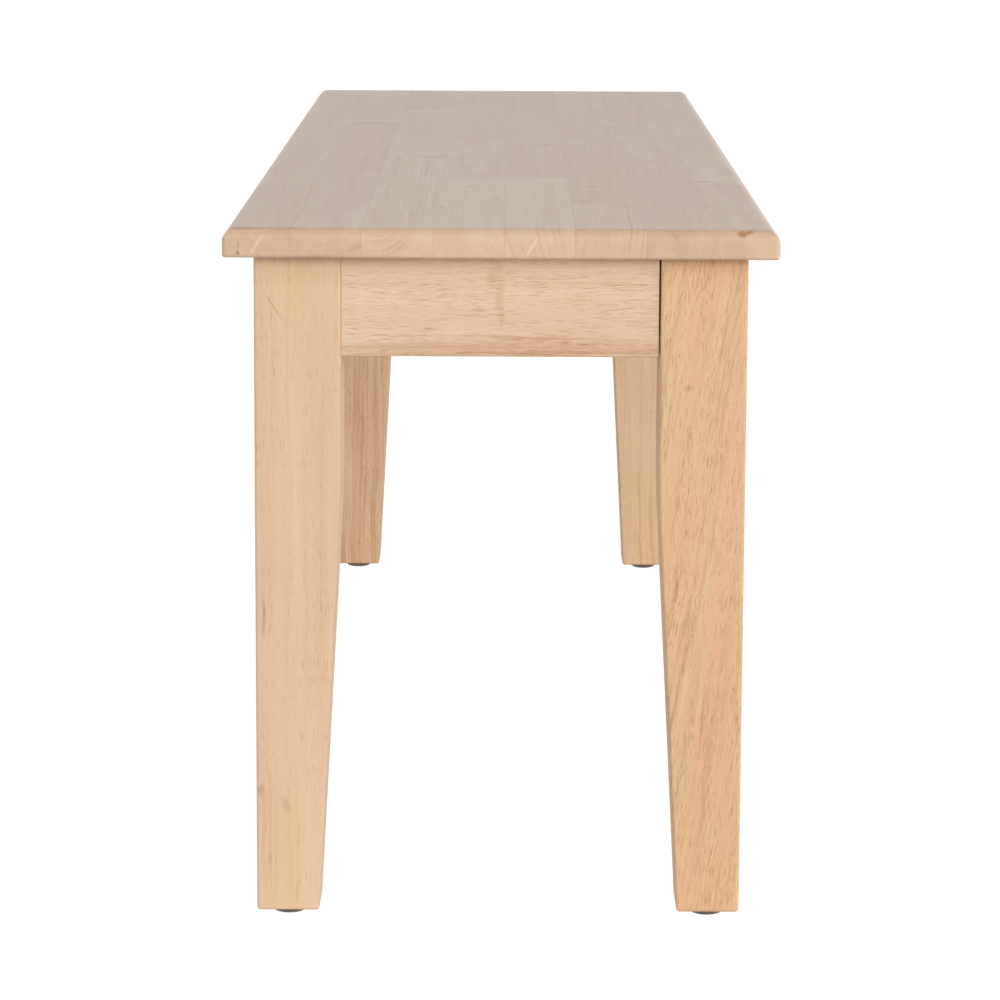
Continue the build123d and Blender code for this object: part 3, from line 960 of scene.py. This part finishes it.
def screw_shape(edge, tip):
    """Pan-head wood screw with a cross recess, from the top of its head."""
    fixings = bpy.context.scene.bench_fixings
    shape = bmesh.new()
    head, crown, radius, ease, neck, neck_height = 2.6, 1.3, 2.0, 0.15, 0.2, 0.3
    plain_share, thread_depth, blunt, point = 0.35, 0.6, 0.3, 5
    recess_depth, narrowing = 1.5, 0.5
    outline = [
        (edge - crown + crown * math.sin(turn * degree), crown - crown * math.cos(turn * degree))
        for turn in (0, 20, 40, 60, 80, 90)
    ]
    outline += [
        (edge, head - ease), (edge - ease, head), (radius + neck, head), (radius, head + neck_height)]
    plain_end, pitch = head + plain_share * (tip - head), fixings.wood_pitch / mm
    outline += thread(radius, plain_end, tip - blunt, pitch, thread_depth, tip, point)
    turned(shape, [*outline, (0, tip)], 20)
    reach, half = fixings.recess_width / 2, 0.5 * mm
    quarter = ((half, half), (half, reach), (-half, reach))
    rim = [(Matrix.Rotation(turn * 90 * degree, 2) @ Vector(place)) for turn in range(4) for place in quarter]
    tops = [shape.verts.new((*place, 0)) for place in rim]
    bottoms = [shape.verts.new((*place * narrowing, recess_depth * mm)) for place in rim]
    for index in range(len(rim)):
        shape.faces.new((tops[index - 1], tops[index], bottoms[index], bottoms[index - 1]))
    shape.faces.new(bottoms)
    edges = [edge for edge in shape.edges if edge.is_boundary]
    bmesh.ops.triangle_fill(shape, edges=edges, use_beauty=True, normal=(0, 0, -1))
    bmesh.ops.recalc_face_normals(shape, faces=shape.faces)
    return shape


def glide_shape(radius, height):
    """Domed glide with a moulding dimple underneath and a hollow for the nail's head on top."""
    flat, rim, hollow, sunk, ease, steps = 8.5, 2.2, 4.05, 0.9, 0.15, 8
    dimple, dimple_floor, dimple_rim = 0.2, 1.1, 1.4
    out, rise = radius - flat, height - rim
    bend = (out ** 2 + rise ** 2) / (2 * rise)
    sweep = math.asin(min(1, out / bend))
    outline = [(0, dimple), (dimple_floor, dimple), (dimple_rim, 0), (flat, 0)]
    outline += [
        (flat + bend * math.sin(sweep * step / steps), bend - bend * math.cos(sweep * step / steps))
        for step in range(1, steps + 1)
    ]
    outline += [
        (radius, height - ease), (radius - ease, height), (hollow + ease, height), (hollow, height - ease),
        (hollow, height - sunk), (0, height - sunk),
    ]
    shape = bmesh.new()
    turned(shape, outline, 48)
    return shape


def seats(node, axis_of):
    """Start, axis and own size of each of a node's solids, from the axis that its size and middle give."""
    found = []
    for triangles in solids_of(node):
        corners = [Vector(corner) for corners in triangles for corner in corners]
        low, high = box_of(corners)
        axis_line = axis_of(high - low, (low + high) / 2).normalized()
        frame_of = axis_line.to_track_quat("Z", "Y").to_matrix()
        low, high = box_of([frame_of.transposed() @ corner for corner in corners])
        start = (low + high) / 2
        start.z = low.z
        found.append((frame_of @ start, axis_line, high - low))
    return found


def inwards(size, middle):
    """Level 45 degree line from a corner towards the middle of the bench."""
    return Vector((-math.copysign(1, middle.x), -math.copysign(1, middle.y), 0))


def to_apron(size, middle):
    """Level line along the longer side of a solid, away from the middle of the bench."""
    if size.x > size.y:
        return Vector((math.copysign(1, middle.x), 0, 0))
    return Vector((0, math.copysign(1, middle.y), 0))


def upwards(size, middle):
    """Straight up."""
    return Vector((0, 0, 1))


def copies_group():
    """Geometry nodes: a copy of a shape on each point, along the point's axis, with a random turn."""
    tree = bpy.data.node_groups.new("copies_on_points", "GeometryNodeTree")
    for name, way, kind in (
        ("Geometry", "INPUT", "Geometry"), ("Shape", "INPUT", "Object"), ("Largest Turn", "INPUT", "Float"),
        ("Seed", "INPUT", "Int"), ("Material", "INPUT", "Material"), ("Geometry", "OUTPUT", "Geometry"),
    ):
        tree.interface.new_socket(name, in_out=way, socket_type=f"NodeSocket{kind}")
    give = flows(tree.nodes.new("NodeGroupInput"))
    axis = put(tree, "GeometryNodeInputNamedAttribute", {"Name": "axis"}, data_type="FLOAT_VECTOR")
    axis = Flow(axis.outputs["Attribute"])
    facing = run("FunctionNodeAlignRotationToVector", {"Vector": axis}, axis="Z")
    turn = {3: give["Largest Turn"], "Seed": give["Seed"]}
    turn = run("FunctionNodeRandomValue", turn, 1, data_type="FLOAT")
    turn = run("FunctionNodeAxisAngleToRotation", {"Angle": turn})
    facing = run("FunctionNodeRotateRotation", {0: facing, 1: turn}, rotation_space="LOCAL")
    copied = run("GeometryNodeObjectInfo", {"Object": give["Shape"]}, "Geometry")
    placed = {"Points": give["Geometry"], "Instance": copied, "Rotation": facing}
    placed = run("GeometryNodeRealizeInstances", {0: run("GeometryNodeInstanceOnPoints", placed)})
    placed = run("GeometryNodeSetMaterial", {"Geometry": placed, "Material": give["Material"]})
    feed(tree.nodes.new("NodeGroupOutput"), {0: placed})


def copies(name, node, shape_of, axis_of, material, largest_turn=2 * math.pi):
    """One piece made of a shape in the place of each of a CAD node's solids. The shape takes a radius and
    a length in millimetres."""
    found = seats(node, axis_of)
    size = found[0][2] / mm
    points = bpy.data.meshes.new("seats")
    points.from_pydata([place for place, axis, own_size in found], [], [])
    axes = points.attributes.new("axis", "FLOAT_VECTOR", "POINT")
    for point, (place, axis, own_size) in zip(axes.data, found):
        point.vector = axis
    pattern = mesh_of("pattern", shape_of(min(size.x, size.y) / 2, size.z))
    model, maker = linked("pattern", pattern), linked("copies", points)
    tree = shared_group("copies_on_points", copies_group)
    modifier = maker.modifiers.new("copies", "NODES")
    modifier.node_group = tree
    seed = bpy.context.scene.bench_fixings.seed
    values = {"Shape": model, "Largest Turn": largest_turn, "Seed": seed, "Material": material}
    for socket in tree.interface.items_tree:
        if socket.in_out == "INPUT" and socket.name in values:
            modifier[socket.identifier] = values[socket.name]
    baked(maker)
    mesh = maker.data
    bpy.data.objects.remove(maker)
    bpy.data.objects.remove(model)
    bpy.data.meshes.remove(pattern)
    return finished_mesh(name, mesh, [node])


class BENCH_OT_hanger_bolts(bpy.types.Operator):
    """Make the hanger bolts, their washers and their nuts"""

    bl_idname = "bench.hanger_bolts"
    bl_label = "Hanger bolts"

    def execute(self, context):
        fixings = context.scene.bench_fixings
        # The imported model's own zinc, where it has one
        zinc = bpy.data.materials.get("zinc_plated_steel") or plated(
            "zinc_plated_steel", fixings.zinc, fixings.zinc_bloom, 0.26)
        for name, node, shape_of in (
            ("bolts_threaded", "hanger_bolts", bolt_shape),
            ("flat_washers_punched", "flat_washers", washer_shape),
            ("spring_washers_split", "spring_washers", spring_shape),
            ("nuts_chamfered", "hex_nuts", nut_shape),
        ):
            copies(name, node, shape_of, inwards, zinc)
        return {"FINISHED"}


class BENCH_OT_screws(bpy.types.Operator):
    """Make the wood screws"""

    bl_idname = "bench.screws"
    bl_label = "Wood screws"

    def execute(self, context):
        fixings = context.scene.bench_fixings
        yellow = plated("yellow_zinc_steel", fixings.yellow_zinc, fixings.yellow_bloom, 0.24)
        for node, axis_of in (
            ("block_screws", to_apron), ("seat_screws", upwards), ("brace_screws", upwards),
        ):
            copies(f"{node}_threaded", node, screw_shape, axis_of, yellow)
        return {"FINISHED"}


class BENCH_OT_glides(bpy.types.Operator):
    """Make the glides and finish their nails"""

    bl_idname = "bench.glides"
    bl_label = "Glides"

    def execute(self, context):
        small_turn = 0.4
        plastic = fixing_material("glide_plastic", "scuffed_plastic", plastic_group, {
            "Plastic": context.scene.bench_fixings.plastic})
        copies("glides_domed", "foot_glides", glide_shape, upwards, plastic, small_turn)
        dress("glide_nails", plated("nail_steel", (0.50, 0.50, 0.51, 1), (0.36, 0.35, 0.35, 1), 0.34))
        return {"FINISHED"}


# Stage

side_level = 0.55

# Each lamp's place, the point that it faces, its width and height, and the setting and share of its power
lamps = {
    "front_lamp": ((13.5, 0.9, 3.4), (0.5, 0, 0.3), (8.0, 4.2), "front_light", 1),
    "upper_lamp": ((6.5, 0.5, 6.5), (0.5, 0, 0.4), (6.0, 1.3), "upper_light", 1),
    "key_lamp": ((4.5, 4.0, 2.1), (0.6, 0, 0.3), (2.5, 2.0), "key_light", 1),
    "fill_lamp": ((4.5, -4.0, 2.1), (0.6, 0, 0.3), (2.5, 2.0), "fill_light", 1),
    "back_lamp": ((-5.0, 0.3, side_level), (-0.5, 0, side_level), (3.0, 1.0), "back_light", 1),
    "left_lamp": ((1.2, -4.0, side_level), (0, 0, side_level), (3.6, 1.0), "side_light", 0.55),
    "right_lamp": ((1.2, 4.0, side_level), (0, 0, side_level), (3.6, 1.0), "side_light", 1.25),
}
lamp_in_reflections = "upper_lamp"
floor_radius = 30.0
floor_glow = 1.09


def area_lamp(name, place, target, size, power):
    """Large soft lamp that faces a point."""
    data = bpy.data.lights.new(name, "AREA")
    data.shape = "RECTANGLE"
    data.size, data.size_y = size
    data.energy = power
    lamp = linked(name, data)
    place = Vector(place)
    facing = (Vector(target) - place).to_track_quat("-Z", "Y")
    lamp.matrix_world = Matrix.Translation(place) @ facing.to_matrix().to_4x4()
    lamp.visible_glossy = name == lamp_in_reflections


def background_rays(tree):
    """Masks of the camera's rays, and of those that are reflected or pass through glass."""
    rays = flows(put(tree, "ShaderNodeLightPath"))
    return rays["Is Camera Ray"], rays["Is Glossy Ray"].math("MAXIMUM", rays["Is Transmission Ray"])


def floor_material():
    """Pale floor that reads white where it isn't shaded, clear to a camera below it. Its base colour, pale
    round the bench and grey further off, is a painted pool of light that sets how much light it throws back.
    """
    made, shader, place = new_material("pale_floor")
    tree = made.node_tree
    far = place.length()
    # Base colour paler round the bench than further off: a painted pool of light, for the light that the
    # floor throws back
    feed(shader, {
        "Base Color": remap(far, 0.7, 1.6, 0.92, 0.42), "Roughness": 0.9, "Specular IOR Level": 0.0})
    seen, reflected = background_rays(tree)
    bright = (remap(far, 0.8, 2.0, 0.92, 1.0) * seen).math("MAXIMUM", reflected)
    glow = Flow(put(tree, "ShaderNodeEmission", {"Color": white, "Strength": floor_glow}).outputs[0])
    clear = Flow(put(tree, "ShaderNodeBsdfTransparent").outputs[0])
    mixed = run("ShaderNodeMixShader", {0: bright, 1: Flow(shader.outputs[0]), 2: glow})
    below = flows(put(tree, "ShaderNodeNewGeometry"))["Backfacing"] * seen
    mixed = run("ShaderNodeMixShader", {0: below, 1: mixed, 2: clear})
    feed(tree.get_output_node("ALL"), {"Surface": mixed})
    return made


def floor():
    """Wide round floor under the bench."""
    shape = bmesh.new()
    bmesh.ops.create_circle(shape, cap_ends=True, segments=96, radius=floor_radius)
    mesh = mesh_of("floor", shape)
    mesh.materials.append(floor_material())
    linked("floor", mesh)


def studio_world(room_light):
    """White background with an even light from all round."""
    world = bpy.data.worlds.new("studio")
    world.use_nodes = True
    bpy.context.scene.world = world
    tree = world.node_tree
    tree.nodes.clear()
    seen, reflected = background_rays(tree)
    strength = seen.math("MAXIMUM", reflected) * (1 - room_light) + room_light
    back = run("ShaderNodeBackground", {"Color": white, "Strength": strength})
    feed(tree.nodes.new("ShaderNodeOutputWorld"), {"Surface": back})


def stand_camera(stage):
    """Camera at the photograph's viewing angle."""
    data = bpy.data.cameras.new("camera")
    data.lens = stage.lens
    data.sensor_width = 36
    data.shift_y = stage.camera_shift
    data.clip_end = 100
    camera = linked("camera", data)
    pitch, yaw, roll = stage.camera_pitch, stage.camera_yaw, stage.camera_roll
    ahead = Vector((-math.cos(pitch) * math.cos(yaw), math.cos(pitch) * math.sin(yaw), -math.sin(pitch)))
    right = Vector((math.sin(yaw), math.cos(yaw), 0))
    right = math.cos(roll) * right + math.sin(roll) * ahead.cross(right)
    turn = Matrix((right, right.cross(ahead), -ahead)).transposed().to_4x4()
    camera.matrix_world = Matrix.Translation(stage.camera_place) @ turn
    bpy.context.scene.camera = camera


class BENCH_OT_stage(bpy.types.Operator):
    """Make the floor, the lamps, the background and the camera"""

    bl_idname = "bench.stage"
    bl_label = "Stage"

    def execute(self, context):
        stage = context.scene.bench_stage
        floor()
        for name, (place, target, size, setting, share) in lamps.items():
            area_lamp(name, place, target, size, share * getattr(stage, setting))
        studio_world(stage.room_light)
        stand_camera(stage)
        context.scene.view_settings.view_transform = "Standard"
        return {"FINISHED"}


class BENCH_PT_sidebar(bpy.types.Panel):
    """The bench's operators and settings in the 3D view's sidebar"""

    bl_idname = "BENCH_PT_sidebar"
    bl_label = "Dining bench"
    bl_space_type = "VIEW_3D"
    bl_region_type = "UI"
    bl_category = "Bench"

    def draw(self, context):
        for operator in operators:
            self.layout.operator(operator.bl_idname)
        for name, group in property_groups.items():
            box = self.layout.box()
            for setting in group.__annotations__:
                box.prop(getattr(context.scene, name), setting)


property_groups = {
    "bench_wood": WoodProperties,
    "bench_seat": SeatProperties,
    "bench_fixings": FixingProperties,
    "bench_stage": StageProperties,
}
operators = (
    BENCH_OT_seat_board,
    BENCH_OT_legs,
    BENCH_OT_aprons,
    BENCH_OT_corner_blocks,
    BENCH_OT_hanger_bolts,
    BENCH_OT_screws,
    BENCH_OT_glides,
    BENCH_OT_stage,
)


def register():
    """Registers the settings, the operators and the panel."""
    for name, group in property_groups.items():
        bpy.utils.register_class(group)
        setattr(bpy.types.Scene, name, PointerProperty(type=group))
    for kind in (*operators, BENCH_PT_sidebar):
        bpy.utils.register_class(kind)


def unregister():
    """Takes away what register added."""
    for kind in (BENCH_PT_sidebar, *reversed(operators)):
        bpy.utils.unregister_class(kind)
    for name, group in property_groups.items():
        delattr(bpy.types.Scene, name)
        bpy.utils.unregister_class(group)


def main():
    """Makes every piece and the stage."""
    register()
    for operator in operators:
        family, action = operator.bl_idname.split(".")
        getattr(getattr(bpy.ops, family), action)()


if __name__ == "__main__":
    main()
